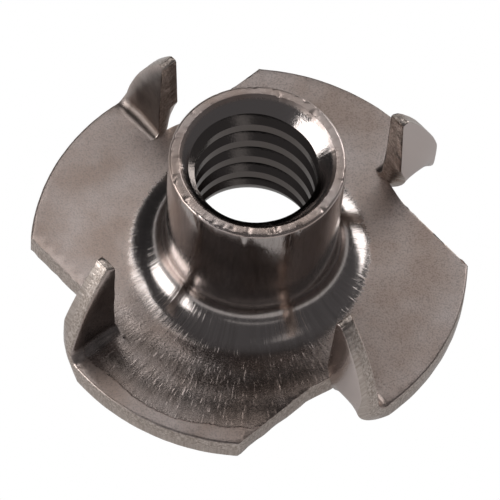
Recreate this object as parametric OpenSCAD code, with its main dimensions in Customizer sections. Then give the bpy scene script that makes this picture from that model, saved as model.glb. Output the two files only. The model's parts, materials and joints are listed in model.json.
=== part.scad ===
// Tee nut for wood: one piece of stainless sheet, drawn up into a threaded barrel,
// with prongs sheared out of the round flange and folded up beside the barrel.
// The origin is on the axis, in the plane of the flange's underside. Sizes are in millimetres.

/* [Flange] */
// Diameter of the round flange
flange_d = 19.05; // [17:0.05:24]
// Thickness of the sheet
sheet_t = 1.1; // [0.8:0.05:1.4]

/* [Barrel] */
// Height from the flange's underside to the rim
nut_h = 8.6; // [7:0.05:14]
// Outside diameter of the barrel
barrel_d = 7.5; // [7.1:0.05:8.6]
// Diameter of the bore, at the crests of the thread
bore_d = 5.25; // [4.6:0.05:5.6]
// Diameter of the tapered mouth at the rim
mouth_d = 6.6; // [6:0.05:6.8]
// Angle of the tapered mouth from the axis
mouth_angle = 45; // [30:1:60]
// Radius of the rim's outer edge
rim_r = 0.2; // [0.05:0.05:0.3]
// Radius of the fillet where the barrel rises from the flange
root_r = 1.55; // [0.8:0.05:2]
// Radius of the drawn-in throat on the underside
throat_r = 2.8; // [1.8:0.05:3]

/* [Prongs] */
// Number of prongs round the flange
prong_count = 4; // [3:1:4]
// Length of the sheared cut, from the flange's corner to the fold
cut_len = 6.25; // [5.2:0.05:6.8]
// Angle between the cut and the radius at the corner
cut_angle = 45; // [42:1:48]
// Gap that the shear leaves beside the prong
cut_gap = 0.2; // [0.1:0.05:0.5]
// Inside radius of the fold
bend_r = 0.5; // [0.2:0.05:0.8]
// Radius of the fold's outer end, seen from above
end_r = 3.4; // [2.8:0.1:6]
// Height of the prong's tip above the flange's underside
prong_h = 6.2; // [4.5:0.1:7.5]
// Width of the blunt end of the tip
tip_w = 0.3; // [0.15:0.05:0.6]
// Thickness that the press leaves at the tip
tip_t = 0.8; // [0.5:0.05:1]
// Radius of the prong's curved outer edge
fin_r = 14; // [9:0.5:30]

/* [Hidden] */
flange_r = flange_d / 2;
barrel_r = barrel_d / 2;
bore_r = bore_d / 2;
mouth_r = mouth_d / 2;
mouth_depth = (mouth_r - bore_r) / tan(mouth_angle);
// Height at which the fold ends and the prong stands upright
fold_h = sheet_t + bend_r;
// Width of the fold at its start, and of the fin's foot where its inner face rises
fold_w = width_at(cut_len);
foot_w = width_at(cut_len - bend_r);
// Middle of the flange, as a prong sees it from its corner
middle = -flange_r * [cos(cut_angle), sin(cut_angle)];
// How far cuts run past the faces that they open
overrun = 1;
$fn = 96;

// Distance, square to the cut, from the cut to the flange's round edge, at u along the cut
function width_at(u) =
    sqrt(pow(flange_r, 2) - pow(u - flange_r * cos(cut_angle), 2)) - flange_r * sin(cut_angle);

// Centre of the arc of radius r that runs from a to b with its centre on the left of that line
function arc_centre(a, b, r) =
    let (chord = b - a, half = norm(chord) / 2)
    (a + b) / 2 + [-chord[1], chord[0]] / (2 * half) * sqrt(r * r - half * half);

// The concave quarter-round corner between two walls that meet at the origin
module corner_fillet(r) {
    difference() {
        square(r);
        translate([r, r])
            circle(r);
    }
}

// Half section of the drawn sheet: flange, root fillet, barrel, bore, throat, mouth and rim
module drawn_section() {
    difference() {
        union() {
            square([flange_r, sheet_t]);
            square([barrel_r, nut_h]);
            translate([barrel_r, sheet_t])
                corner_fillet(root_r);
        }
        translate([-overrun, -overrun])
            square([bore_r + overrun, nut_h + 2 * overrun]);
        translate([bore_r, 0])
            corner_fillet(throat_r);
        polygon([[bore_r, nut_h - mouth_depth], [mouth_r, nut_h], [bore_r, nut_h]]);
        translate([barrel_r, nut_h])
            rotate(180)
                corner_fillet(rim_r);
    }
}

// Puts its children at each corner of the flange, with X along the cut, away from the fold,
// and Y along the fold, towards the flange's round edge
module at_each_corner() {
    for (i = [0 : prong_count - 1])
        rotate(360 / prong_count * i)
            translate([flange_r, 0, 0])
                rotate(-cut_angle)
                    children();
}

// The room that a prong leaves in the flange when it is folded up
module prong_window() {
    translate([-cut_len, 0, -overrun])
        cube([cut_len + flange_r, flange_r, sheet_t + 2 * overrun]);
}

// Face view of the upright part of a prong: a fin with a curved outer edge
module fin_outline() {
    foot = [foot_w, fold_h];
    tip = [cut_gap + tip_w, prong_h];
    intersection() {
        translate(arc_centre(foot, tip, fin_r))
            circle(fin_r);
        translate([cut_gap, fold_h])
            square([foot_w - cut_gap, prong_h - fold_h]);
    }
}

// Edge view of the fin, which thins towards the tip on its outer face
module fin_taper() {
    polygon([[-overrun, fold_h], [sheet_t, fold_h], [tip_t, prong_h], [-overrun, prong_h]]);
}

// The fin that stands on the fold
module fin() {
    translate([bend_r - cut_len, 0, 0])
        intersection() {
            rotate([90, 0, 90])
                linear_extrude(sheet_t)
                    fin_outline();
            translate([0, flange_r, 0])
                rotate([90, 0, 0])
                    linear_extrude(flange_r)
                        fin_taper();
        }
}

// The quarter turn that carries the sheet from the flange up into the fin
module fold() {
    translate([-cut_len, 0, fold_h])
        rotate([-90, 0, 0])
            rotate_extrude(angle = 90)
                translate([bend_r, cut_gap])
                    square([sheet_t, fold_w]);
}

// Round that leaves the flange's edge without a corner where the fold starts
module outer_end() {
    edge = [-cut_len, fold_w];
    translate(edge + (middle - edge) * end_r / flange_r)
        cylinder(r = end_r, h = prong_h);
}

// One prong: fold and fin, trimmed round at the outer end
module prong() {
    intersection() {
        union() {
            fold();
            fin();
        }
        outer_end();
    }
}

// The whole nut, as it comes from the press
module tee_nut() {
    color([0.56, 0.51, 0.48])
        union() {
            difference() {
                rotate_extrude()
                    drawn_section();
                at_each_corner()
                    prong_window();
            }
            at_each_corner()
                prong();
        }
}

tee_nut();
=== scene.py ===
"""Looks of a pressed stainless tee nut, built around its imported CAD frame.

The nut is made here as a press makes it: a round blank is slit in four places, a barrel is drawn up
from its middle and tapped, and the four tongues beside the slits are folded up as prongs.
Sizes are in metres and angles in degrees, unless a name says otherwise.
"""

import json
import logging
import math
from contextlib import contextmanager
from dataclasses import dataclass, field
from enum import Enum, IntEnum
from typing import Any, Callable, Iterator, Sequence

import bmesh
import bpy
from mathutils import Matrix, Vector, noise


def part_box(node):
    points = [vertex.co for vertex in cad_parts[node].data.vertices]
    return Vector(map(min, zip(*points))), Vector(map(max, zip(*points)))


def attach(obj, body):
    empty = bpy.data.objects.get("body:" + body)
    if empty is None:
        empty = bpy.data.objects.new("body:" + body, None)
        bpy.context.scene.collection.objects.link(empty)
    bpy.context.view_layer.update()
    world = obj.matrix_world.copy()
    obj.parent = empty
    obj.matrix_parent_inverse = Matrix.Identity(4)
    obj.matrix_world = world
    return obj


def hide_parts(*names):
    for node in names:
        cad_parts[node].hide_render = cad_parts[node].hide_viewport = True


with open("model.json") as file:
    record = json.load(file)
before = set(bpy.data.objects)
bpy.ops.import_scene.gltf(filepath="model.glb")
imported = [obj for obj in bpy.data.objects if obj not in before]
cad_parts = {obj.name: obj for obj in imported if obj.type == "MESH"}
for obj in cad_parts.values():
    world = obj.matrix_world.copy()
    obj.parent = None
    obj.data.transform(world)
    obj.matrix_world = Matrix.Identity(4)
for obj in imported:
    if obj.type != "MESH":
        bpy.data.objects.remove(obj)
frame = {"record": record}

LOG = logging.getLogger("tee_nut")
MM = 0.001
NODE = "tee_nut"
# Places closer than a hair count as one, and a cut takes the points that it passes this close to
HAIR = 1e-6
CUT_SNAP = 1e-8
# How far cutters run past the sheet
OVERRUN = 2 * MM
# A face is a wall where its normal rises less than the first, and flat where it rises more than the second
WALL_RISE = 0.5
FLAT_RISE = 0.999
# Side of the picture in pixels, and width of the camera's sensor in millimetres
IMAGE_SIDE = 500
SENSOR_MM = 36
# An area lamp's watts for each square metre at a brightness of 1
LAMP_WATTS = 4


class Surface(IntEnum):
    """The sheet's two surfaces, in the order of the material slots."""

    SKIN = 0
    SHEARED = 1


class Element(Enum):
    """What is picked in edit mode."""

    EDGE = "EDGE"
    FACE = "FACE"


def linear(hex_code: str) -> tuple[float, float, float, float]:
    """Turn an sRGB hex colour into linear RGBA, by the curve of the standard.

    Args:
        hex_code: six hex digits, with or without a leading hash.

    Returns:
        Red, green and blue as linear shares, and an alpha of 1.
    """
    digits = hex_code.lstrip("#")
    shares = [int(digits[i : i + 2], 16) / 255 for i in (0, 2, 4)]
    curve = [s / 12.92 if s <= 0.04045 else ((s + 0.055) / 1.055) ** 2.4 for s in shares]
    return (curve[0], curve[1], curve[2], 1.0)


def only(obj: bpy.types.Object) -> None:
    """Make one object the only selected one, and the active one.

    Args:
        obj: the object.
    """
    bpy.ops.object.select_all(action="DESELECT")
    obj.select_set(True)
    bpy.context.view_layer.objects.active = obj


@contextmanager
def editing(obj: bpy.types.Object) -> Iterator[None]:
    """Open an object in edit mode with nothing selected, and close it afterwards.

    Args:
        obj: the mesh object to edit.
    """
    only(obj)
    bpy.ops.object.mode_set(mode="EDIT")
    bpy.ops.mesh.select_mode(type="VERT")
    bpy.ops.mesh.select_all(action="DESELECT")
    try:
        yield
    finally:
        bpy.ops.object.mode_set(mode="OBJECT")


def pick(obj: bpy.types.Object, kind: Element, test: Callable[[Any], bool]) -> int:
    """Select, in edit mode, just the elements that pass a test.

    Args:
        obj: the object in edit mode.
        kind: whether edges or faces are picked.
        test: says of one element whether it is wanted.

    Returns:
        How many were selected.
    """
    bpy.ops.mesh.select_mode(type=kind.value)
    bpy.ops.mesh.select_all(action="DESELECT")
    bm = bmesh.from_edit_mesh(obj.data)
    elements = bm.edges if kind is Element.EDGE else bm.faces
    wanted = [e for e in elements if not e.hide and test(e)]
    for element in wanted:
        element.select_set(True)
    bm.select_flush_mode()
    bmesh.update_edit_mesh(obj.data)
    return len(wanted)


def slice_all(spot: Vector, normal: Vector) -> None:
    """Cut all that isn't hidden in edit mode along the plane through a spot."""
    bpy.ops.mesh.select_all(action="SELECT")
    bpy.ops.mesh.bisect(plane_co=spot, plane_no=normal, threshold=CUT_SNAP)


def climb(edge: bmesh.types.BMEdge) -> float:
    """How far an edge climbs."""
    return abs(edge.verts[0].co.z - edge.verts[1].co.z)


def share(value: float) -> float:
    """Keep a value between nothing and one."""
    return max(0.0, min(1.0, value))


def finish_with(obj: bpy.types.Object, kind: str, **settings: Any) -> None:
    """Add a modifier with its settings and apply it.

    Args:
        obj: the object to change.
        kind: the modifier's type.
        settings: the modifier's properties.
    """
    only(obj)
    bpy.ops.object.modifier_add(type=kind)
    modifier = obj.modifiers[-1]
    for name, value in settings.items():
        setattr(modifier, name, value)
    bpy.ops.object.modifier_apply(modifier=modifier.name)


def cut_away(obj: bpy.types.Object, cutter: bpy.types.Object) -> None:
    """Take a cutter's room out of an object and remove the cutter."""
    finish_with(obj, "BOOLEAN", operation="DIFFERENCE", solver="EXACT", object=cutter)
    bpy.data.objects.remove(cutter)


def drawn_line(name: str, points: Sequence[tuple[float, float]]) -> bpy.types.Object:
    """Draw a closed chain of edges in the XZ plane, point after point.

    Args:
        name: the new object's name.
        points: radius and height of each point.

    Returns:
        The object that holds the chain.
    """
    bpy.ops.object.select_all(action="DESELECT")
    bpy.ops.mesh.primitive_plane_add(size=MM)
    obj = bpy.context.object
    obj.name = name
    with editing(obj):
        bpy.ops.mesh.select_all(action="SELECT")
        bpy.ops.mesh.merge(type="CENTER")
        place = Vector((0.0, 0.0, 0.0))
        for i, (radius, height) in enumerate(points):
            step = Vector((radius, 0.0, height)) - place
            if i == 0:
                bpy.ops.transform.translate(value=step)
            else:
                bpy.ops.mesh.extrude_region_move(TRANSFORM_OT_translate={"value": step})
            place += step
        bpy.ops.mesh.select_all(action="SELECT")
        bpy.ops.mesh.edge_face_add()
        bpy.ops.mesh.delete(type="ONLY_FACE")
    return obj


def arc(
    centre: tuple[float, float], radius: float, start: float, end: float, steps: int
) -> list[tuple[float, float]]:
    """List points along an arc.

    Args:
        centre: the arc's middle, as radius and height.
        radius: the arc's own radius.
        start: first angle, from the direction of growing radius towards up.
        end: last angle.
        steps: how many edges the arc has.

    Returns:
        The points, both ends included.
    """
    angles = [math.radians(start + (end - start) * i / steps) for i in range(steps + 1)]
    return [(centre[0] + radius * math.cos(a), centre[1] + radius * math.sin(a)) for a in angles]


@dataclass
class DrawnBarrel:
    """The barrel that the press draws up out of the sheet, with its root, throat, rim and thread."""

    bore_r: float
    barrel_r: float
    height: float
    sheet_t: float
    join_r: float
    around: int
    root_r: float = 1.7 * MM
    throat_r: float = 2.8 * MM
    mouth_r: float = 3.3 * MM
    rim_r: float = 0.13 * MM
    rim_flat: float = 0.08 * MM
    lip_r: float = 0.04 * MM
    pitch: float = 1.27 * MM
    major_r: float = 3.175 * MM
    flank_angle: float = 30.0
    root_flat: float = 0.16 * MM
    tap_clear: float = 0.3 * MM
    thread_phase: float = -0.3 * MM
    # depth of the rim's nicks, their spacing, how rare they are and how much of each goes inwards
    nick: float = 0.09 * MM
    nick_every: float = 0.25 * MM
    nick_from: float = 0.22
    nick_inward: float = 0.5
    turns: int = 8
    tap_steps: int = 192
    curve_steps: int = 20
    edge_steps: int = 6
    lip_steps: int = 2

    def section(self) -> list[tuple[float, float]]:
        """Half section of the drawn sheet.

        Returns:
            Radius and height of its points, from the flange's top over the rim to the underside.
        """
        mouth_depth = self.mouth_r - self.bore_r
        rise = self.height - self.rim_r - self.sheet_t - self.root_r
        root = (self.barrel_r + self.root_r, self.sheet_t + self.root_r)
        rim = (self.barrel_r - self.rim_r, self.height - self.rim_r)
        lip = (self.mouth_r + self.lip_r, self.height - self.lip_r)
        points = [(self.join_r, self.sheet_t)]
        points += arc(root, self.root_r, 270, 180, self.curve_steps)
        for i in range(1, self.edge_steps):
            points.append((self.barrel_r, self.sheet_t + self.root_r + rise * i / self.edge_steps))
        points += arc(rim, self.rim_r, 0, 90, self.edge_steps)
        points.append((self.barrel_r - self.rim_r - self.rim_flat, self.height))
        points += arc(lip, self.lip_r, 90, 135, self.lip_steps)
        points.append((self.bore_r + mouth_depth / 2, self.height - mouth_depth / 2))
        points.append((self.bore_r, self.height - mouth_depth))
        points += arc((self.bore_r + self.throat_r, self.throat_r), self.throat_r, 180, 270, self.curve_steps)
        points.append((self.join_r, 0.0))
        return points

    def tap(self) -> bpy.types.Object:
        """Make the room that a tap cuts out of the bore.

        Returns:
            A closed helical bar.
        """
        inner_r = self.bore_r - self.tap_clear
        half_root = self.root_flat / 2
        half_base = half_root + (self.major_r - inner_r) * math.tan(math.radians(self.flank_angle))
        start = -self.pitch + self.thread_phase
        outline = [(inner_r, start - half_base), (self.major_r, start - half_root)]
        outline += [(self.major_r, start + half_root), (inner_r, start + half_base)]
        bar = drawn_line("tap", outline)
        finish_with(
            bar, "SCREW", axis="Z", angle=math.tau, screw_offset=self.pitch, iterations=self.turns,
            steps=self.tap_steps, render_steps=self.tap_steps,
            use_merge_vertices=False, use_smooth_shade=True,
        )
        with editing(bar):
            bpy.ops.mesh.select_mode(type="EDGE")
            bpy.ops.mesh.select_non_manifold(extend=False)
            bpy.ops.mesh.edge_face_add()
            bpy.ops.mesh.select_all(action="SELECT")
            bpy.ops.mesh.normals_make_consistent(inside=False)
        return bar

    def build(self) -> bpy.types.Object:
        """Spin the section into a closed ring, tap it and open the ring where the flange joins.

        Returns:
            The barrel, open at its outer wall.
        """
        obj = drawn_line("barrel", self.section())
        with editing(obj):
            bpy.ops.mesh.select_all(action="SELECT")
            bpy.ops.mesh.spin(steps=self.around, angle=math.tau, center=(0, 0, 0), axis=(0, 0, 1))
            bpy.ops.mesh.select_all(action="SELECT")
            bpy.ops.mesh.remove_doubles(threshold=HAIR / 10)
            bpy.ops.mesh.normals_make_consistent(inside=False)
        cut_away(obj, self.tap())
        with editing(obj):
            limit = self.join_r - HAIR
            pick(obj, Element.FACE, lambda f: all(v.co.xy.length > limit for v in f.verts))
            bpy.ops.mesh.delete(type="FACE")
        self.nick_rim(obj)
        LOG.info("barrel: %d faces", len(obj.data.polygons))
        return obj

    def nick_rim(self, obj: bpy.types.Object) -> None:
        """Dent the rim here and there, as nuts do to each other when they are tumbled.

        Args:
            obj: the barrel.
        """
        for vertex in obj.data.vertices:
            spot = vertex.co
            near = 1 - (self.height - spot.z) / (2 * self.rim_r)
            if near > 0:
                dent = max(0.0, noise.noise(spot / self.nick_every) - self.nick_from) * min(1.0, 2 * near)
                spot.z -= self.nick * dent
                spot.xy *= 1 - self.nick_inward * self.nick * dent / spot.xy.length


@dataclass
class Prong:
    """A tongue of the blank beside a slit, folded up as a fin."""

    index: int
    flange_r: float
    sheet_t: float
    height: float
    bulge: float
    # how much painted shade darkens the fin's hollow side
    hollow_shade: float
    apart: float = 90.0
    cut_len: float = 6.25 * MM
    cut_angle: float = 45.0
    gap: float = 0.25 * MM
    slit_round: float = 0.45
    slit_steps: int = 6
    relief: float = 0.015 * MM
    # how far beside the slit, and past its walls, the shear has worked the metal
    beside: float = 0.15 * MM
    skim: float = 0.05 * MM
    edge_drop: float = 0.12 * MM
    # the fold draws the slit shut down to this gap, over a length, fading out along the slit and beside it
    closed_gap: float = 0.01 * MM
    drag_hold: float = 0.9 * MM
    drag_reach: float = 0.85 * MM
    drag_side: float = 1.6
    bend_r: float = 0.5 * MM
    end_r: float = 3.0 * MM
    # rollover of the fin's hollow side, and its breadth
    roll: float = 0.16 * MM
    roll_w: float = 0.5 * MM
    # radius to which the fin is bowed across
    bow_r: float = 4.0 * MM
    # pinch of the fold: its share, its length in quarter turns, its middle, and the spread of the inner side
    pull_in: float = 0.6
    pinch_len: float = 1.6
    pinch_at: float = 1.3 * MM
    spread: float = 0.15
    # saddle on the fold's outer side: its depth, how it starts and grows across, and its height in folds
    tuck: float = 1.6 * MM
    saddle_start: float = 0.35
    saddle_grow: float = 3.3
    saddle_h: float = 1.25
    tip_w: float = 0.34 * MM
    tip_t: float = 0.8 * MM
    tip_round: float = 0.14 * MM
    tip_steps: int = 4
    # painted shade lies on the top part of the sheet, fading in over a length, and the die rubs the lowest
    # part
    shade_fade: float = 0.5 * MM
    shade_from: float = 0.6
    shade_rise: float = 3.0
    rubbed_to: float = 0.4
    fold_steps: int = 14
    fin_steps: int = 26
    strips: int = 9
    strip_w: float = 0.3 * MM
    to_nut: Matrix = field(init=False)
    to_flat: Matrix = field(init=False)

    def __post_init__(self) -> None:
        """Set the frame at the flange's corner: X along the cut, away from the fold; Y along the fold."""
        turn = Matrix.Rotation(math.radians(self.apart * self.index), 4, "Z")
        corner = Matrix.Translation((self.flange_r, 0, 0))
        self.to_nut = turn @ corner @ Matrix.Rotation(math.radians(-self.cut_angle), 4, "Z")
        self.to_flat = self.to_nut.inverted()

    def along(self) -> Vector:
        """Direction of the cut, away from the fold."""
        return self.to_nut.to_3x3() @ Vector((1, 0, 0))

    def width(self, run: float) -> float:
        """Width of the flat tongue, from the slit's line to the round edge.

        Args:
            run: distance past the fold's start.

        Returns:
            The width there.
        """
        angle = math.radians(self.cut_angle)
        off = self.cut_len - run - self.flange_r * math.cos(angle)
        return math.sqrt(self.flange_r**2 - off**2) - self.flange_r * math.sin(angle)

    def tip_u(self) -> float:
        """Find where the tongue is as wide as its blunt tip.

        Returns:
            The distance along the cut, from the corner.
        """
        angle = math.radians(self.cut_angle)
        reach = self.gap + self.tip_w + self.flange_r * math.sin(angle)
        return self.flange_r * math.cos(angle) - math.sqrt(self.flange_r**2 - reach**2)

    def end_limit(self, x: float) -> float:
        """Say how far along the fold its rounded outer end reaches, seen from above.

        Args:
            x: distance across the fold.

        Returns:
            The reach there.
        """
        angle = math.radians(self.cut_angle)
        edge = Vector((-self.cut_len, self.width(0.0)))
        middle = -self.flange_r * Vector((math.cos(angle), math.sin(angle)))
        centre = edge + (middle - edge).normalized() * self.end_r
        return centre.y + math.sqrt(max(0.0, self.end_r**2 - (x - centre.x) ** 2))

    def box(self, low: Vector, high: Vector) -> bpy.types.Object:
        """Add a block in the prong's frame.

        Args:
            low: its lowest corner there.
            high: its highest corner there.

        Returns:
            The block.
        """
        middle = self.to_nut @ ((low + high) / 2)
        bpy.ops.object.select_all(action="DESELECT")
        turn = math.radians(self.apart * self.index - self.cut_angle)
        bpy.ops.mesh.primitive_cube_add(size=1, location=middle, rotation=(0, 0, turn), scale=high - low)
        block = bpy.context.object
        bpy.ops.object.transform_apply(location=True, rotation=True, scale=True)
        return block

    def slit(self, blank: bpy.types.Object) -> None:
        """Shear the slit beside the tongue, crop the tongue's tip and round the tip's corners.

        Args:
            blank: the round blank.
        """
        end = self.cut_len + self.relief
        top = OVERRUN + self.sheet_t
        slot = self.box(Vector((-end, 0, -OVERRUN)), Vector((OVERRUN, self.gap, top)))
        with editing(slot):
            pick(slot, Element.EDGE, lambda e: climb(e) > OVERRUN
                 and all((self.to_flat @ v.co).x < HAIR - end for v in e.verts))
            bpy.ops.mesh.bevel(
                offset=self.gap * self.slit_round, segments=self.slit_steps, affect="EDGES")
        cut_away(blank, slot)
        tip = self.tip_u()
        crop = self.box(Vector((-tip, self.gap / 2, -OVERRUN)), Vector((OVERRUN, 2 * OVERRUN, top)))
        cut_away(blank, crop)
        with editing(blank):
            pick(blank, Element.EDGE, lambda e: climb(e) > self.sheet_t / 2
                 and all(abs((self.to_flat @ v.co).x + tip) < HAIR for v in e.verts)
                 and (self.to_flat @ e.verts[0].co).y > self.gap / 2)
            bpy.ops.mesh.bevel(offset=self.tip_round, segments=self.tip_steps, affect="EDGES")

    def belongs(self, point: Vector) -> bool:
        """Say whether a point of the flat blank lies on this tongue, beyond the fold's start."""
        local = self.to_flat @ point
        return local.x > -self.cut_len - HAIR / 10 and local.y > self.gap / 2

    def on_cut(self, point: Vector) -> bool:
        """Say whether a point of the flat blank lies at the slit's walls or at the tongue's tip.

        Args:
            point: the place in the flat blank.

        Returns:
            Whether it does.
        """
        local = self.to_flat @ point
        beside = -self.beside < local.y < self.gap + self.skim and local.x < self.skim
        at_tip = -self.tip_u() - 2 * self.skim < local.x < 0 < local.y
        return -self.cut_len - 2 * self.relief < local.x and (beside or at_tip)

    def opened(self, point: Vector) -> float:
        """How far the slit has opened at a point of the flat blank: nothing at its end, one further out."""
        past = (self.to_flat @ point).x + self.cut_len
        return share((past - self.drag_hold) / self.drag_reach)

    def levelled(self, point: Vector) -> float:
        """Say how far the slit's rounded upper edge stands up again where the fold has closed the slit.

        Args:
            point: the place in the flat blank.

        Returns:
            The rise.
        """
        flat = self.to_flat @ point
        near = -self.beside < flat.y < self.gap + self.beside and -self.cut_len - 2 * self.beside < flat.x < 0
        if not near or flat.z < self.sheet_t - self.edge_drop:
            return 0.0
        return (1 - self.opened(point)) * (self.sheet_t - flat.z)

    def score(self, blank: bpy.types.Object) -> None:
        """Cut the tongue into strips along the fold and across it, so that it can bend.

        Args:
            blank: the sheet, still flat.
        """
        straight = self.cut_len - self.tip_u()
        bend = (self.bend_r + self.sheet_t / 2) * math.pi / 2
        cuts = [bend * i / self.fold_steps for i in range(1, self.fold_steps + 1)]
        cuts += [bend + (straight - bend) * i / self.fin_steps for i in range(1, self.fin_steps)]
        along = self.along()
        across = self.to_nut.to_3x3() @ Vector((0, 1, 0))
        start = self.to_nut @ Vector((-self.cut_len, 0, 0))
        with editing(blank):
            pick(blank, Element.FACE, lambda f: any(self.belongs(v.co) for v in f.verts))
            bpy.ops.mesh.bisect(plane_co=start, plane_no=along, threshold=CUT_SNAP)
            pick(blank, Element.FACE, lambda f: all(self.belongs(v.co) for v in f.verts))
            bpy.ops.mesh.hide(unselected=True)
            for cut in cuts:
                slice_all(self.to_nut @ Vector((cut - self.cut_len, 0, 0)), along)
            for i in range(1, self.strips):
                slice_all(self.to_nut @ Vector((0, self.gap + i * self.strip_w, 0)), across)
            bpy.ops.mesh.reveal(select=False)

    def shade_and_rub(self, point: Vector) -> float:
        """Say how much painted shade a point of the tongue gets: most in the hollow of fold and fin.

        Args:
            point: the place in the flat blank.

        Returns:
            A share of painted shade, or below nothing on the outer side, which the die has rubbed bright.
        """
        flat = self.to_flat @ point
        run = flat.x + self.cut_len
        if flat.z < self.rubbed_to * self.sheet_t:
            return -min(1.0, run / self.bend_r)
        margin = (self.width(min(run, self.cut_len)) - flat.y) / self.shade_fade
        hollow = share(self.shade_rise * (flat.z / self.sheet_t - self.shade_from))
        return self.hollow_shade * hollow * min(1.0, run / self.shade_fade) * share(margin)

    def dragged(self, point: Vector) -> Vector:
        """Draw the flange's edge in towards the fold at the slit's end, which closes the slit there.

        Args:
            point: a place in the flat blank, off the tongue.

        Returns:
            The place after the fold is made.
        """
        flat = self.to_flat @ point
        past = flat.x + self.cut_len
        past = max(past - self.drag_hold, min(past, 0.0)) / self.drag_reach
        away = flat.y / (self.beside if flat.y > 0 else self.drag_side * self.drag_reach)
        flat.y += (self.gap - self.closed_gap) * math.exp(-(past**2) - away**2)
        return self.to_nut @ flat

    def bent(self, point: Vector) -> Vector:
        """Carry a point of the flat tongue round the fold and up into the fin.

        Args:
            point: the place in the flat blank.

        Returns:
            The place after folding.
        """
        flat = self.to_flat @ point
        run = flat.x + self.cut_len
        length = self.cut_len - self.tip_u()
        neutral = self.bend_r + self.sheet_t / 2
        quarter = neutral * math.pi / 2
        axis_z = self.sheet_t + self.bend_r
        upright = share((run - quarter) / (length - quarter))
        turn = min(run, quarter) / neutral
        thin = self.sheet_t - (self.sheet_t - self.tip_t) * upright
        reach = self.bend_r + (self.sheet_t - flat.z) * thin / self.sheet_t
        # blanking has rolled the concave side over towards the round edge
        round_edge = self.width(min(run, length))
        margin = max(0.0, 1 - (round_edge - flat.y) / self.roll_w)
        reach += self.roll * margin**2 * max(0.0, flat.z / self.sheet_t) * min(1.0, run / self.roll_w)
        width = round_edge - self.gap
        across = share((flat.y - self.gap) / width)
        # the fold squeezes its outer side narrower and lets its inner side spread a little
        outer = (reach - neutral) / neutral
        pinch = self.pull_in * math.sin(math.pi * min(run / (self.pinch_len * quarter), 1.0))
        middle = self.gap + self.pinch_at
        y = middle + (flat.y - middle) * (1 - pinch * (outer if outer > 0 else self.spread * outer))
        y += self.bulge * across * math.sin(math.pi * min(run / length, 1.0))
        sag = width**2 / (8 * self.bow_r) * (1 - (2 * across - 1) ** 2)
        z = axis_z - reach * math.cos(turn) + (self.height - axis_z) * upright
        x = reach * math.sin(turn) - self.cut_len + sag * math.sin(turn) ** 2 * min(1.0, z / (2 * axis_z))
        # the fold's outer end is round, seen from above
        limit = self.end_limit(x)
        edge = middle + (round_edge - middle) * (1 - pinch * outer)
        if outer > 0 and edge > limit:
            low = 1 - min(1.0, max(0.0, run - quarter) / quarter)
            y = self.gap + (y - self.gap) * (1 - low * (1 - (limit - self.gap) / (edge - self.gap)))
        # the fold's outer side is tucked in, which leaves a saddle there
        low = max(0.0, 1 - z / (self.saddle_h * axis_z))
        saddle = (1 - across) * (self.saddle_start + self.saddle_grow * across)
        x -= self.tuck * saddle * max(0.0, outer) * math.sin(turn) * low
        return self.to_nut @ Vector((x, y, z))


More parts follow.
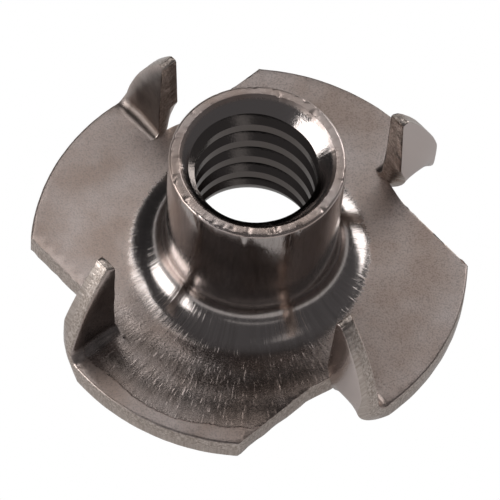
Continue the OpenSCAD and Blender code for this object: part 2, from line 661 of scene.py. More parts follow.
@dataclass
class Flange:
    """The round sheet that the barrel rises from and that the prongs are sheared out of."""

    radius: float
    thickness: float
    join_r: float
    around: int
    prongs: list[Prong]
    rollover: float = 0.1 * MM
    burr: float = 0.04 * MM
    edge_steps: int = 720
    round_steps: int = 4
    wall_cuts: int = 36
    wall_rows: int = 6

    def build(self) -> bpy.types.Object:
        """Blank the disc, open its middle, shear the slits and round the sheared edges.

        Returns:
            The flat flange, open where the barrel joins.
        """
        bpy.ops.object.select_all(action="DESELECT")
        middle = (0, 0, self.thickness / 2)
        bpy.ops.mesh.primitive_cylinder_add(
            vertices=self.edge_steps, radius=self.radius, depth=self.thickness, location=middle)
        obj = bpy.context.object
        obj.name = "flange"
        bpy.ops.object.transform_apply(location=True)
        bpy.ops.mesh.primitive_cylinder_add(
            vertices=self.around, radius=self.join_r, depth=4 * self.thickness)
        cut_away(obj, bpy.context.object)
        for prong in self.prongs:
            prong.slit(obj)
        self.round_edges(obj)
        with editing(obj):
            limit = self.join_r + HAIR
            pick(obj, Element.FACE, lambda f: all(v.co.xy.length < limit for v in f.verts))
            bpy.ops.mesh.delete(type="FACE")
        self.divide_walls(obj)
        LOG.info("flange: %d faces", len(obj.data.polygons))
        return obj

    def round_edges(self, obj: bpy.types.Object) -> None:
        """Give each sheared edge its rollover on one side and its tight burr on the other.

        Args:
            obj: the slit flange, with square edges.
        """
        with editing(obj):
            for face in bmesh.from_edit_mesh(obj.data).faces:
                face.material_index = Surface.SHEARED if self.is_wall(face) else Surface.SKIN
            for top in (True, False):
                for soft in (True, False):
                    weight = 1.0 if soft else self.burr / self.rollover
                    if pick(obj, Element.EDGE,
                            lambda e: self.is_rim(e, top) and self.is_soft(e, top) == soft):
                        bpy.ops.transform.edge_bevelweight(value=weight)
        finish_with(obj, "BEVEL", width=self.rollover, segments=self.round_steps, limit_method="WEIGHT",
                    use_clamp_overlap=False, offset_type="OFFSET", face_strength_mode="FSTR_ALL")

    def divide_walls(self, obj: bpy.types.Object) -> None:
        """Divide the sheared walls finely, so that they can be torn.

        Args:
            obj: the slit flange, with rounded edges.
        """
        with editing(obj):
            for prong in self.prongs:
                pick(obj, Element.FACE, lambda f: all(prong.on_cut(v.co) for v in f.verts))
                bpy.ops.mesh.hide(unselected=True)
                for i in range(1, self.wall_cuts):
                    spot = prong.to_nut @ Vector((-prong.cut_len * i / self.wall_cuts, 0, 0))
                    slice_all(spot, prong.along())
                bpy.ops.mesh.reveal(select=False)
            pick(obj, Element.FACE, lambda f: f.material_index == Surface.SHEARED)
            bpy.ops.mesh.hide(unselected=True)
            for i in range(1, self.wall_rows):
                slice_all(Vector((0, 0, self.thickness * i / self.wall_rows)), Vector((0, 0, 1)))
            bpy.ops.mesh.reveal(select=False)

    def is_wall(self, face: bmesh.types.BMFace) -> bool:
        """Say whether a face is a sheared wall, and not the opening for the barrel."""
        away = face.calc_center_median().xy.length > self.join_r + 10 * HAIR
        return away and abs(face.normal.z) < WALL_RISE

    def is_rim(self, edge: bmesh.types.BMEdge, top: bool) -> bool:
        """Say whether an edge lies between a sheared wall and the sheet.

        Args:
            edge: the edge.
            top: whether the sheet's top is meant, or its underside.

        Returns:
            Whether it does.
        """
        height = self.thickness if top else 0.0
        level = all(abs(v.co.z - height) < HAIR / 10 for v in edge.verts)
        steep = sum(abs(f.normal.z) < WALL_RISE for f in edge.link_faces)
        away = all(v.co.xy.length > self.join_r + 10 * HAIR for v in edge.verts)
        return level and away and steep == 1

    def is_soft(self, edge: bmesh.types.BMEdge, top: bool) -> bool:
        """Say whether shearing rounds an edge, rather than leaving a tight burr on it.

        Args:
            edge: an edge of a sheared wall.
            top: whether it is at the sheet's top, or at its underside.

        Returns:
            Whether it is rounded: at the underside on the flange's side of a slit, at the top elsewhere.
        """
        middle = (edge.verts[0].co + edge.verts[1].co) / 2
        for prong in self.prongs:
            local = prong.to_flat @ middle
            within = -prong.cut_len - prong.relief - HAIR < local.x < HAIR
            if within and abs(local.y) < prong.gap / 4:
                return not top
        return top


@dataclass
class TeeNut:
    """The whole nut, as one piece."""

    high: Vector
    record: dict
    sheet_t: float = 1.1 * MM
    join_r: float = 6.2 * MM
    around: int = 384
    grid: float = 0.45 * MM
    # where the grid's lines lie, in squares, so that none passes through the axis
    grid_shift: float = 0.37
    # faces smaller than this share of a square are left whole
    grid_least: float = 1 / 9
    # depth of the torn walls, what is left of it off the slits, and the two sizes of tear
    tear: float = 0.035 * MM
    tear_off_slit: float = 0.2
    tear_wide: float = 0.7 * MM
    tear_fine: float = 0.35 * MM
    # how much of a tear is even, goes with the wide tears and goes with the fine ones
    tear_mix: tuple[float, float, float] = (0.7, 1.5, 0.8)
    # a point on a rounded edge, whose normal lies flat by less than this, isn't torn
    tear_facing: float = 0.3
    burr: float = 0.06 * MM
    burr_every: float = 0.3 * MM
    # how much of the burr is even, and how much comes and goes
    burr_mix: tuple[float, float] = (0.3, 2.0)
    dome: float = 0.14 * MM
    dome_r: float = 4.8 * MM
    dome_fade: float = 3.0 * MM
    crease_angle: float = 38.0
    face_weight: int = 80
    # height, bulge and painted shade in the hollow of each prong, from the one at the right back, going round
    # to the left
    prong_shapes: tuple[tuple[float, float, float], ...] = (
        (6.2 * MM, 0.2 * MM, 0.8), (6.35 * MM, 0.12 * MM, 1.0),
        (6.2 * MM, -0.05 * MM, 0.4), (6.2 * MM, 0.15 * MM, 0.7))

    def mount_r(self, name: str) -> float:
        """Radius of one of the record's mounts."""
        mount = next(m for m in self.record["mounts"] if m["name"] == name)
        return mount["dims"]["r_mm"] * MM

    def build(self) -> bpy.types.Object:
        """Make the flat flange and the barrel, join them and fold the prongs.

        Returns:
            The finished piece.
        """
        prongs = [Prong(i, self.high.x, self.sheet_t, *shape) for i, shape in enumerate(self.prong_shapes)]
        nut = Flange(self.high.x, self.sheet_t, self.join_r, self.around, prongs).build()
        barrel = DrawnBarrel(self.mount_r("thread"), self.mount_r("barrel"), self.high.z, self.sheet_t,
                             self.join_r, self.around).build()
        self.dress((nut, barrel))
        only(nut)
        barrel.select_set(True)
        bpy.ops.object.join()
        nut.name = "tee_nut_visual"
        with editing(nut):
            bpy.ops.mesh.select_all(action="SELECT")
            bpy.ops.mesh.remove_doubles(threshold=HAIR)
            bpy.ops.mesh.delete_loose(use_verts=True, use_edges=True, use_faces=False)
        for prong in prongs:
            prong.score(nut)
        self.divide_flats(nut, prongs)
        self.fold(nut, prongs)
        with editing(nut):
            bpy.ops.mesh.select_all(action="SELECT")
            bpy.ops.mesh.normals_make_consistent(inside=False)
        only(nut)
        bpy.ops.object.shade_smooth_by_angle(angle=math.radians(self.crease_angle))
        finish_with(nut, "WEIGHTED_NORMAL", mode="FACE_AREA", weight=self.face_weight,
                    keep_sharp=True, use_face_influence=True)
        return nut

    def dress(self, parts: Sequence[bpy.types.Object]) -> None:
        """Give each part both finishes, in the order of the slots.

        Args:
            parts: the flange and the barrel, before they are joined.
        """
        finishes = [PressedStainless().build(), ShearedStainless().build()]
        for part in parts:
            for finish in finishes:
                part.data.materials.append(finish)

    def divide_flats(self, obj: bpy.types.Object, prongs: Sequence[Prong]) -> None:
        """Divide the flange's flat faces into small squares, so that each is shaded by its own place.

        Args:
            obj: the flat nut.
            prongs: its prongs, which are left alone.
        """
        with editing(obj):
            least = self.grid_least * self.grid**2
            pick(obj, Element.FACE, lambda f: abs(f.normal.z) > FLAT_RISE and f.calc_area() > least
                 and f.calc_center_median().xy.length > self.join_r
                 and not any(p.belongs(f.calc_center_median()) for p in prongs))
            bpy.ops.mesh.hide(unselected=True)
            lines = int(self.high.x / self.grid)
            for i in range(-lines, lines + 1):
                for normal in (Vector((1, 0, 0)), Vector((0, 1, 0))):
                    slice_all(normal * self.grid * (i + self.grid_shift), normal)
            bpy.ops.mesh.reveal(select=False)

    def fold(self, obj: bpy.types.Object, prongs: Sequence[Prong]) -> None:
        """Fold the tongues up, keeping each point's flat place, painted shade and rub as attributes.

        Args:
            obj: the flat nut.
            prongs: its prongs.
        """
        mesh = obj.data
        walls = {i for face in mesh.polygons if face.material_index == Surface.SHEARED for i in face.vertices}
        LOG.info("points on sheared walls: %d", len(walls))
        for name, kind in (("blank", "FLOAT_VECTOR"), ("shade_and_rub", "FLOAT")):
            mesh.attributes.new(name, kind, "POINT")
        blank, shade_and_rub = mesh.attributes["blank"], mesh.attributes["shade_and_rub"]
        outward = [Vector((v.normal.x, v.normal.y, 0.0)) for v in mesh.vertices]
        for vertex, flat, shade_and_marks in zip(mesh.vertices, blank.data, shade_and_rub.data):
            flat.vector = vertex.co
            spot = vertex.co.copy()
            spot.z += self.domed(spot) + max(p.levelled(vertex.co) for p in prongs)
            if vertex.index in walls:
                spot -= self.torn(vertex.co, outward[vertex.index], prongs)
                spot.z += self.burred(vertex.co, prongs)
            home = next((p for p in prongs if p.belongs(vertex.co)), None)
            if home:
                # painted shade on the fin's hollow side, and the die's rub on its outer side
                shade_and_marks.value = home.shade_and_rub(vertex.co)
                vertex.co = home.bent(spot)
            else:
                for prong in prongs:
                    spot = prong.dragged(spot)
                vertex.co = spot
            if vertex.co.xy.length > self.high.x:
                vertex.co.xy *= self.high.x / vertex.co.xy.length
        mesh.update()

    def domed(self, point: Vector) -> float:
        """Say how far drawing the barrel has raised a point of the flange's top.

        Args:
            point: the place in the flat nut.

        Returns:
            The rise, which fades out up the barrel.
        """
        if point.z < self.sheet_t / 2:
            return 0.0
        inward = share((self.high.x - point.xy.length) / (self.high.x - self.dome_r))
        above = max(0.0, 1 - (point.z - self.sheet_t) / self.dome_fade)
        return self.dome * inward**2 * (3 - 2 * inward) * min(1.0, above)

    def torn(self, point: Vector, wall: Vector, prongs: Sequence[Prong]) -> Vector:
        """Say how far shearing tears one point of a wall inwards.

        Args:
            point: a point of a sheared wall, in the flat blank.
            wall: the way the wall faces there, which is short on the rounded edges.
            prongs: the prongs, whose slits are torn most.

        Returns:
            The step out of the metal that the point has lost.
        """
        if wall.length < self.tear_facing:
            return Vector((0.0, 0.0, 0.0))
        at_slits = (self.tear * p.opened(point) for p in prongs if p.on_cut(point))
        depth = max(at_slits, default=self.tear_off_slit * self.tear)
        wide = noise.noise(point / self.tear_wide)
        fine = noise.noise(point / self.tear_fine)
        even, by_wide, by_fine = self.tear_mix
        return wall.normalized() * depth * max(0.0, even + by_wide * wide + by_fine * fine)

    def burred(self, point: Vector, prongs: Sequence[Prong]) -> float:
        """Say how high the burr stands at a point of a slit's upper edge, on the flange's side.

        Args:
            point: a point of a sheared wall, in the flat blank.
            prongs: the prongs, whose slits have the burr.

        Returns:
            The burr's height there.
        """
        if point.z < self.sheet_t - self.burr:
            return 0.0
        beside = [p for p in prongs if p.on_cut(point) and (p.to_flat @ point).y < 0]
        open_part = max((p.opened(point) for p in beside), default=0.0)
        even, ragged = self.burr_mix
        return self.burr * open_part * max(0.0, even + ragged * noise.noise(point / self.burr_every))


def add(tree: bpy.types.NodeTree, kind: str, links: dict | None = None, **settings: Any) -> bpy.types.Node:
    """Add a shader node with its settings and links.

    Args:
        tree: the node tree.
        kind: the node's type, without its ShaderNode prefix.
        links: for each input, by name or number, a socket to link or a value to set. On MapRange,
            inputs 1 and 2 are the range that is read, and 3 and 4 the range that is given.
        settings: the node's own properties.

    Returns:
        The new node.
    """
    node = tree.nodes.new("ShaderNode" + kind)
    for name, value in settings.items():
        setattr(node, name, value)
    for key, value in (links or {}).items():
        if isinstance(value, bpy.types.NodeSocket):
            tree.links.new(value, node.inputs[key])
        else:
            node.inputs[key].default_value = value
    return node


def start_metal(name: str) -> tuple[bpy.types.Material, bpy.types.NodeTree, bpy.types.NodeSocket]:
    """Start a bare metal whose patterns follow the flat blank.

    Args:
        name: the material's name.

    Returns:
        The material, its node tree, and each point's place in the flat blank, in millimetres.
    """
    material = bpy.data.materials.new(name)
    material.use_nodes = True
    tree = material.node_tree
    tree.nodes["Principled BSDF"].inputs["Metallic"].default_value = 1.0
    blank = add(tree, "Attribute", attribute_name="blank").outputs["Vector"]
    place = add(tree, "VectorMath", {0: blank, "Scale": 1 / MM}, operation="SCALE").outputs[0]
    return material, tree, place


def end_metal(
    tree: bpy.types.NodeTree,
    colour: bpy.types.NodeSocket,
    rough: bpy.types.NodeSocket,
    relief: bpy.types.NodeSocket,
) -> None:
    """Link a metal's patterns to its shader.

    Args:
        tree: the metal's node tree.
        colour: its colour.
        rough: its roughness.
        relief: the height of its surface, in millimetres.
    """
    bump = add(tree, "Bump", {"Strength": 1.0, "Distance": MM, "Height": relief}).outputs[0]
    shader = tree.nodes["Principled BSDF"]
    for name, socket in (("Base Color", colour), ("Roughness", rough), ("Normal", bump)):
        tree.links.new(socket, shader.inputs[name])


@dataclass(frozen=True)
class PressedStainless:
    """Stainless sheet as the press leaves it.

    The eye gets a warm grey satin on the flange with fine pits and brownish clouds, a front that the die has
    rubbed, and a burnished barrel and root, nearly mirrors, with marks along the draw. Painted shade darkens
    that front, the prongs' hollows and the bore.
    """

    name: str = "pressed stainless steel"
    pale: str = "#D3C6C1"
    brown: str = "#BDAAA0"
    bright: str = "#BDB4B0"
    # a dark tint: painted shade on the front, in the prongs' hollows and down the bore, and oil in the draw
    # marks and pits
    shade_and_marks: str = "#4C443F"
    # roughness of the sheet, the rubbed front, the prongs' outer side, the root and the barrel, and its play
    satin: float = 0.34
    rubbed: float = 0.25
    outer: float = 0.2
    root: float = 0.17
    burnished: float = 0.13
    play: float = 0.06
    cloud_mm: float = 2.4
    grain_mm: float = 0.075  # drawn coarser than the real 0.02 mm, so that it shows
    streak_mm: float = 0.14  # drawn coarser than the real 0.03 mm, so that it shows
    streak_r_mm: float = 5.0
    # where the rubbed front, the drawn root, the bore, the rim, the mouth, the die's rings and the root lie
    die_r_mm: float = 8.83
    root_end_mm: float = 5.2
    bore_mm: float = 3.3
    rim_mm: float = 8.5
    mouth_mm: float = 7.95
    rings_mm: tuple[float, float] = (5.5, 8.4)
    root_mm: tuple[float, float] = (2.2, 3.4)
    front: tuple[float, float, float] = (-0.2, -0.98, 0.0)
    # share of the dark tint: painted shade between the front's streaks and in them and in its rings, oil in
    # the draw marks and pits, and painted shade down the bore
    front_shade: tuple[float, float] = (0.5, 0.28)
    ring_shade: float = 0.26
    scratch_oil: float = 0.22
    pit_oil: float = 0.35
    bore_shade: float = 0.7
    # relief: on the sheet and on drawn metal, then the rings' and the whole front's
    grain_deep_mm: tuple[float, float] = (0.005, 0.001)
    streak_deep_mm: tuple[float, float] = (0.006, 0.003)
    hatch_deep_mm: tuple[float, float] = (0.004, 0.0026)
    ring_deep_mm: float = 0.014
    front_deep_mm: float = 0.03

    def build(self) -> bpy.types.Material:
        """Make the material.

        Returns:
            The finished material.
        """
        material, tree, place = start_metal(self.name)
        xyz = add(tree, "SeparateXYZ", {0: place}).outputs
        flat = add(tree, "CombineXYZ", {0: xyz[0], 1: xyz[1]}).outputs[0]
        radius = add(tree, "VectorMath", {0: flat}, operation="LENGTH").outputs["Value"]
        heading = add(tree, "VectorMath", {0: flat}, operation="NORMALIZE").outputs[0]
        # marks along the draw: fine across the heading, long along radius and height
        along = add(tree, "Math", {0: radius, 1: xyz[2]}, operation="ADD").outputs[0]
        lengthwise = add(tree, "CombineXYZ", {2: along}).outputs[0]
        spacing = self.streak_r_mm / self.streak_mm
        across = add(tree, "VectorMath", {0: heading, "Scale": spacing}, operation="SCALE").outputs[0]
        streak_at = add(tree, "VectorMath", {0: across, 1: lengthwise}, operation="ADD").outputs[0]
        streak = add(tree, "TexNoise", {"Vector": streak_at, "Scale": 1.0, "Detail": 3.0}).outputs[0]
        hatch = add(tree, "TexNoise", {"Vector": streak_at, "Scale": 2.2, "Detail": 1.0}).outputs[0]
        hatch = add(tree, "MapRange", {"Value": hatch, 1: 0.6, 2: 0.77}).outputs[0]
        cloud = add(tree, "TexNoise", {"Vector": place, "Scale": 1 / self.cloud_mm, "Detail": 6.0}).outputs[0]
        grain = add(tree, "TexNoise", {"Vector": place, "Scale": 1 / self.grain_mm, "Detail": 3.0}).outputs[0]
        # where the draw has burnished the metal, with a ragged end that is softer in front
        ragged = add(tree, "Math", {0: streak, 1: 0.5, 2: -0.25}, operation="MULTIPLY_ADD").outputs[0]
        ragged = add(tree, "Math", {0: radius, 1: ragged}, operation="ADD").outputs[0]
        facing = add(tree, "VectorMath", {0: heading, 1: self.front}, operation="DOT_PRODUCT")
        facing = facing.outputs["Value"]
        ends = []
        for sharp, soft in ((0.12, 0.6), (-0.12, -0.5)):
            reach = {3: self.root_end_mm + sharp, 4: self.root_end_mm + soft}
            ends.append(add(tree, "MapRange", {"Value": facing, 1: 0.2, 2: 0.9, **reach}).outputs[0])
        drawn = add(tree, "MapRange", {"Value": ragged, 1: ends[0], 2: ends[1]},
                    interpolation_type="SMOOTHSTEP").outputs[0]
        # where the die has rubbed the front of the sheet's top, the side towards the camera, which also gets
        # painted shade
        in_front = add(tree, "MapRange", {"Value": facing, 1: 0.5, 2: 0.8},
                       interpolation_type="SMOOTHSTEP").outputs[0]
        fray = add(tree, "Math", {0: cloud, 1: 0.9, 2: -0.45}, operation="MULTIPLY_ADD").outputs[0]
        fray = add(tree, "Math", {0: radius, 1: fray}, operation="ADD").outputs[0]
        inside = add(tree, "MapRange", {"Value": fray, 1: self.die_r_mm + 0.04, 2: self.die_r_mm - 0.04},
                     interpolation_type="SMOOTHSTEP").outputs[0]
        band = add(tree, "Math", {0: in_front, 1: inside}, operation="MULTIPLY").outputs[0]
        upper = add(tree, "MapRange", {"Value": xyz[2], 1: 0.3, 2: 0.6}).outputs[0]
        band = add(tree, "Math", {0: band, 1: upper}, operation="MULTIPLY").outputs[0]
        outside = add(tree, "MapRange", {"Value": radius, 1: self.bore_mm, 2: self.bore_mm + 0.1}).outputs[0]
        marked = add(tree, "Math", {0: drawn, 1: band}, operation="MAXIMUM").outputs[0]
        marked = add(tree, "Math", {0: marked, 1: outside}, operation="MULTIPLY").outputs[0]
        below = add(tree, "MapRange", {"Value": xyz[2], 1: self.rim_mm, 2: self.rim_mm - 0.1}).outputs[0]
        bright = add(tree, "Math", {0: drawn, 1: below}, operation="MULTIPLY").outputs[0]
        # the die leaves two rings on the front, pressed into the relief, and painted shade darkens their
        # hollows
        first, last = self.rings_mm
        wave = add(tree, "MapRange", {"Value": radius, 1: first, 2: last, 4: 2 * math.tau},
                   clamp=False).outputs[0]
        wave = add(tree, "Math", {0: wave}, operation="SINE").outputs[0]
        hollow = add(tree, "MapRange", {"Value": wave, 1: 0.2, 2: -1.0, 4: self.ring_shade}).outputs[0]
        # painted shade in the front's streaks and rings, oil and wear in the draw marks, and none on the
        # hatch marks, which are left lighter as painted glints beside their relief
        between, within = self.front_shade
        streak_shade = add(tree, "MapRange", {"Value": streak, 1: 0.35, 2: 0.65, 3: between, 4: within}).outputs[0]
        streak_shade = add(tree, "Math", {0: streak_shade, 1: hollow}, operation="ADD").outputs[0]
        shade_and_wear = add(tree, "Math", {0: band, 1: streak_shade}, operation="MULTIPLY").outputs[0]
        scratch = add(tree, "MapRange", {"Value": streak, 1: 0.4, 2: 0.75, 4: self.scratch_oil}).outputs[0]
        for mask in (below, outside):
            scratch = add(tree, "Math", {0: scratch, 1: mask}, operation="MULTIPLY").outputs[0]
        shade_and_wear = add(tree, "Mix", {"Factor": drawn, "A": shade_and_wear, "B": scratch}).outputs[0]
        shade_and_wear = add(tree, "Mix", {"Factor": hatch, "A": shade_and_wear, "B": 0.0}).outputs[0]
        pit = add(tree, "MapRange", {"Value": grain, 1: 0.3, 2: 0.55, 3: self.pit_oil, 4: 0.0}).outputs[0]
        pit = add(tree, "Mix", {"Factor": drawn, "A": pit, "B": 0.0}).outputs[0]
        # painted shade in the prongs' hollows, and below nothing where the die has rubbed their outside
        shade_and_rub = add(tree, "Attribute", attribute_name="shade_and_rub").outputs["Fac"]
        rubbed = add(tree, "MapRange", {"Value": shade_and_rub, 1: 0.0, 2: -1.0, 4: 0.9}).outputs[0]
        # painted shade down the bore, below the mouth
        bore = {1: self.mouth_mm, 2: self.mouth_mm - 0.1, 4: self.bore_shade}
        in_bore = add(tree, "MapRange", {"Value": xyz[2], **bore}).outputs[0]
        in_bore = add(tree, "Mix", {"Factor": outside, "A": in_bore, "B": 0.0}).outputs[0]
        mottle = add(tree, "MapRange", {"Value": cloud, 1: 0.4, 2: 0.6, 3: 0.75, 4: 1.0}).outputs[0]
        shade_and_rub = add(tree, "Math", {0: shade_and_rub, 1: mottle}, operation="MULTIPLY").outputs[0]
        shade_and_rub = add(tree, "Math", {0: shade_and_rub, 1: in_bore}, operation="MAXIMUM").outputs[0]
        # colour, layer on layer; the dark tint carries painted shade as well as oil and pits
        clouded = add(tree, "MapRange", {"Value": cloud, 1: 0.35, 2: 0.65}).outputs[0]
        colour: Any = linear(self.pale)
        layers = ((clouded, self.brown), (bright, self.bright), (shade_and_wear, self.shade_and_marks),
                  (pit, self.shade_and_marks), (shade_and_rub, self.shade_and_marks), (rubbed, self.pale))
        for amount, tint in layers:
            mix = {"Factor": amount, "A": colour, "B": linear(tint)}
            colour = add(tree, "Mix", mix, data_type="RGBA").outputs["Result"]
        # roughness
        base = add(tree, "MapRange", {"Value": band, 3: self.satin, 4: self.rubbed}).outputs[0]
        base = add(tree, "MapRange", {"Value": rubbed, 3: base, 4: self.outer}).outputs[0]
        low, high = self.root_mm
        up_barrel = {1: low, 2: high, 3: self.root, 4: self.burnished}
        sheen = add(tree, "MapRange", {"Value": xyz[2], **up_barrel}).outputs[0]
        base = add(tree, "MapRange", {"Value": bright, 3: base, 4: sheen}).outputs[0]
        vary = add(tree, "MapRange", {"Value": grain, 1: 0.3, 2: 0.7, 3: -self.play, 4: self.play}).outputs[0]
        rough = add(tree, "Math", {0: base, 1: vary}, operation="ADD", use_clamp=True).outputs[0]
        # relief, in millimetres
        smooth = add(tree, "Math", {0: drawn, 1: outside}, operation="MULTIPLY").outputs[0]
        deep = []
        for amount, (on_sheet, on_drawn) in (
                (smooth, self.grain_deep_mm), (drawn, self.streak_deep_mm), (drawn, self.hatch_deep_mm)):
            deep.append(add(tree, "MapRange", {"Value": amount, 3: on_sheet, 4: on_drawn}).outputs[0])
        relief = add(tree, "Math", {0: grain, 1: deep[0]}, operation="MULTIPLY").outputs[0]
        lines = add(tree, "Math", {0: streak, 1: deep[1]}, operation="MULTIPLY").outputs[0]
        lines = add(tree, "Math", {0: hatch, 1: deep[2], 2: lines}, operation="MULTIPLY_ADD").outputs[0]
        relief = add(tree, "Math", {0: lines, 1: marked, 2: relief}, operation="MULTIPLY_ADD").outputs[0]
        front = {0: wave, 1: self.ring_deep_mm, 2: -self.front_deep_mm}
        pressed = add(tree, "Math", front, operation="MULTIPLY_ADD").outputs[0]
        relief = add(tree, "Math", {0: pressed, 1: band, 2: relief}, operation="MULTIPLY_ADD").outputs[0]
        end_metal(tree, colour, rough, relief)
        return material


@dataclass(frozen=True)
class ShearedStainless:
    """Stainless where the punch has sheared it.

    The eye gets a smooth burnished band with fine lines along the shear, then torn, grainy, lighter metal.
    """

    name: str = "sheared stainless steel"
    pale: str = "#D8CCC4"
    dark: str = "#A3958B"
    burnished: float = 0.27
    broken: float = 0.4
    tear_mm: float = 0.11
    score_mm: float = 0.12
    score_long_mm: float = 2.5
    sheet_mm: float = 1.1
    # where the torn part starts and is whole, as shares of the sheet, and how ragged its start is
    torn_from: tuple[float, float] = (0.62, 0.78)
    ragged_mm: float = 0.6
    # relief of the torn part, low down and on the prongs, the heights where it grows, and of the lines
    torn_deep_mm: tuple[float, float] = (0.005, 0.013)
    opened: tuple[float, float] = (1.2 * MM, 2.2 * MM)
    line_deep_mm: float = 0.0025

    def build(self) -> bpy.types.Material:
        """Make the material.

        Returns:
            The finished material.
        """
        material, tree, place = start_metal(self.name)
        depth = add(tree, "SeparateXYZ", {0: place}).outputs[2]
        tear = add(tree, "TexNoise", {"Vector": place, "Scale": 1 / self.tear_mm, "Detail": 3.0}).outputs[0]
        squash = (1 / self.score_mm, 1 / self.score_mm, 1 / self.score_long_mm)
        score_at = add(tree, "VectorMath", {0: place, 1: squash}, operation="MULTIPLY").outputs[0]
        score = add(tree, "TexNoise", {"Vector": score_at, "Scale": 1.0, "Detail": 2.0}).outputs[0]
        frayed = {0: score, 1: self.ragged_mm, 2: depth}
        ragged = add(tree, "Math", frayed, operation="MULTIPLY_ADD").outputs[0]
        start, whole = (self.sheet_mm * s for s in self.torn_from)
        torn = add(tree, "MapRange", {"Value": ragged, 1: start, 2: whole}).outputs[0]
        speck = add(tree, "MapRange", {"Value": tear, 1: 0.36, 2: 0.66}).outputs[0]
        streak = add(tree, "MapRange", {"Value": score, 1: 0.2, 2: 0.8}).outputs[0]
        mixed = add(tree, "Mix", {"Factor": torn, "A": streak, "B": speck}).outputs[0]
        tints = {"A": linear(self.dark), "B": linear(self.pale)}
        colour = add(tree, "Mix", {"Factor": mixed, **tints}, data_type="RGBA").outputs["Result"]
        rough = add(tree, "MapRange", {"Value": torn, 3: self.burnished, 4: self.broken}).outputs[0]
        # the round edge of the flange is smoother than the prongs' edges, which the fold has opened up
        lift = add(tree, "SeparateXYZ", {0: add(tree, "TexCoord").outputs["Object"]}).outputs[2]
        span = dict(zip((1, 2, 3, 4), self.opened + self.torn_deep_mm))
        coarse = add(tree, "MapRange", {"Value": lift, **span}).outputs[0]
        grainy = add(tree, "Math", {0: tear, 1: torn}, operation="MULTIPLY").outputs[0]
        grainy = add(tree, "Math", {0: grainy, 1: coarse}, operation="MULTIPLY").outputs[0]
        lined = {0: score, 1: self.line_deep_mm, 2: grainy}
        relief = add(tree, "Math", lined, operation="MULTIPLY_ADD").outputs[0]
        end_metal(tree, colour, rough, relief)
        return material


@dataclass(frozen=True)
class SoftBox:
    """A lit panel of the studio, seen from the nut: its direction, breadth, height and brightness."""

    name: str
    azimuth: float
    elevation: float
    wide: float
    tall: float
    bright: float
    distance: float = 0.5

    def build(self) -> None:
        """Hang the panel, turned to the nut."""
        a, e = math.radians(self.azimuth), math.radians(self.elevation)
        spot = Vector((math.sin(a) * math.cos(e), math.cos(a) * math.cos(e), math.sin(e))) * self.distance
        data = bpy.data.lights.new(self.name, "AREA")
        data.shape = "RECTANGLE"
        data.size = 2 * self.distance * math.tan(math.radians(self.wide / 2))
        data.size_y = 2 * self.distance * math.tan(math.radians(self.tall / 2))
        data.energy = LAMP_WATTS * data.size * data.size_y * self.bright
        lamp = bpy.data.objects.new(self.name, data)
        lamp.location = spot
        lamp.rotation_mode = "QUATERNION"
        lamp.rotation_quaternion = spot.to_track_quat("Z", "Y")
        bpy.context.scene.collection.objects.link(lamp)


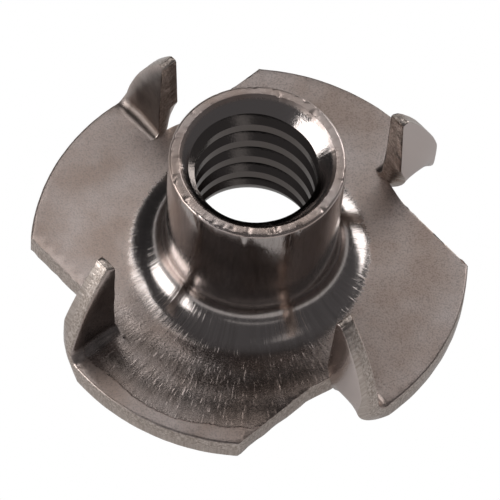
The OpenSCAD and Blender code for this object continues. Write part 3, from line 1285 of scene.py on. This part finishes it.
@dataclass
class Studio:
    """White paper floor, lit panels, a dim room and the camera."""

    lens: float = 324.0
    distance: float = 196.46 * MM
    elevation: float = 59.29
    azimuth: float = -1.79
    roll: float = 5.17
    # where the nut's origin lies in the picture
    centre_px: tuple[float, float] = (248.3, 264.4)
    clip: tuple[float, float] = (1 * MM, 10.0)
    floor_side: float = 4.0
    paper: str = "#F2F2F2"
    paper_rough: float = 0.9
    white: str = "#FFFFFF"
    # share of the white floor that the metal reflects
    in_metal: float = 0.28
    # colour of the room, the side that is lighter, and how the light falls off to its dim side
    room: str = "#58585A"
    lit_side: tuple[float, float, float] = (0.45, -0.89, 0.0)
    dim_to_lit: tuple[float, float] = (-0.7, 0.1)
    dim: float = 0.3
    panels: tuple[SoftBox, ...] = (
        SoftBox("left key", -46, 61, 28, 13, 1.6),
        SoftBox("left low", -102, 17, 44, 30, 2.9),
        SoftBox("right key", 38, 31, 22, 32, 2.4),
        SoftBox("back", 2, 57, 34, 18, 0.43),
        SoftBox("front strip", 172, 19, 50, 6, 0.2),
        SoftBox("front card", 135, 58, 12, 14, 0.2),
    )

    def camera(self) -> None:
        """Set the camera where the photograph was taken from."""
        e, r, a = (math.radians(x) for x in (self.elevation, self.roll, self.azimuth))
        turn = Matrix.Rotation(a, 3, "Z")
        back = turn @ Vector((0, -math.cos(e), math.sin(e)))
        flat_right = turn @ Vector((1, 0, 0))
        flat_up = turn @ Vector((0, math.sin(e), math.cos(e)))
        right = math.cos(r) * flat_right + math.sin(r) * flat_up
        up = -math.sin(r) * flat_right + math.cos(r) * flat_up
        focal = self.lens / SENSOR_MM * IMAGE_SIDE
        half = IMAGE_SIDE / 2
        aim = (right * (half - self.centre_px[0]) + up * (self.centre_px[1] - half)) * self.distance / focal
        spot = back * self.distance
        ahead = (spot - aim).normalized()
        side = (right - right.dot(ahead) * ahead).normalized()
        axes = Matrix((side, ahead.cross(side), ahead)).transposed()
        data = bpy.data.cameras.new("camera")
        data.lens = self.lens
        data.sensor_width = SENSOR_MM
        data.clip_start, data.clip_end = self.clip
        camera = bpy.data.objects.new("camera", data)
        camera.matrix_world = Matrix.Translation(spot) @ axes.to_4x4()
        bpy.context.scene.collection.objects.link(camera)
        bpy.context.scene.camera = camera

    def floor(self) -> None:
        """Lay the paper: white to the camera, partly white in the metal, and lit paper to other light."""
        bpy.ops.object.select_all(action="DESELECT")
        bpy.ops.mesh.primitive_plane_add(size=self.floor_side)
        floor = bpy.context.object
        floor.name = "floor"
        material = bpy.data.materials.new("white paper")
        material.use_nodes = True
        tree = material.node_tree
        shader = tree.nodes["Principled BSDF"]
        shader.inputs["Base Color"].default_value = linear(self.paper)
        shader.inputs["Roughness"].default_value = self.paper_rough
        path = add(tree, "LightPath").outputs
        white = add(tree, "Emission", {"Strength": 1.0, "Color": linear(self.white)}).outputs[0]
        shown = add(tree, "Math", {0: path["Is Glossy Ray"], 1: self.in_metal, 2: path["Is Camera Ray"]},
                    operation="MULTIPLY_ADD", use_clamp=True).outputs[0]
        seen = add(tree, "MixShader", {0: shown, 1: shader.outputs[0], 2: white}).outputs[0]
        tree.links.new(seen, tree.nodes["Material Output"].inputs["Surface"])
        floor.data.materials.append(material)

    def room_light(self) -> None:
        """Give the room its dim light, and white behind the nut where the camera sees past the floor."""
        world = bpy.data.worlds.new("studio")
        world.use_nodes = True
        tree = world.node_tree
        dim = tree.nodes["Background"]
        dim.inputs["Color"].default_value = linear(self.room)
        way = add(tree, "TexCoord").outputs["Generated"]
        ahead = add(tree, "VectorMath", {0: way, 1: self.lit_side}, operation="DOT_PRODUCT").outputs["Value"]
        dark, lit = self.dim_to_lit
        level = add(tree, "MapRange", {"Value": ahead, 1: dark, 2: lit, 3: self.dim, 4: 1.0}).outputs[0]
        tree.links.new(level, dim.inputs["Strength"])
        path = add(tree, "LightPath").outputs
        white = add(tree, "Background", {"Strength": 1.0, "Color": linear(self.white)}).outputs[0]
        seen = add(tree, "MixShader", {0: path["Is Camera Ray"], 1: dim.outputs[0], 2: white}).outputs[0]
        tree.links.new(seen, tree.nodes["World Output"].inputs["Surface"])
        bpy.context.scene.world = world

    def build(self) -> None:
        """Make floor, room, panels and camera."""
        self.floor()
        self.room_light()
        for panel in self.panels:
            panel.build()
        self.camera()
        bpy.context.scene.view_settings.view_transform = "Standard"


def main() -> None:
    """Build the nut and the studio, and log the piece's faces."""
    logging.basicConfig(level=logging.INFO, format="%(name)s: %(message)s")
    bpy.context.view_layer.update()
    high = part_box(NODE)[1]
    piece = TeeNut(high, frame["record"]).build()
    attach(piece, "root")
    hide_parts(NODE)
    LOG.info("piece %s: %d faces", piece.name, len(piece.data.polygons))
    Studio().build()


if __name__ == "__main__":
    main()
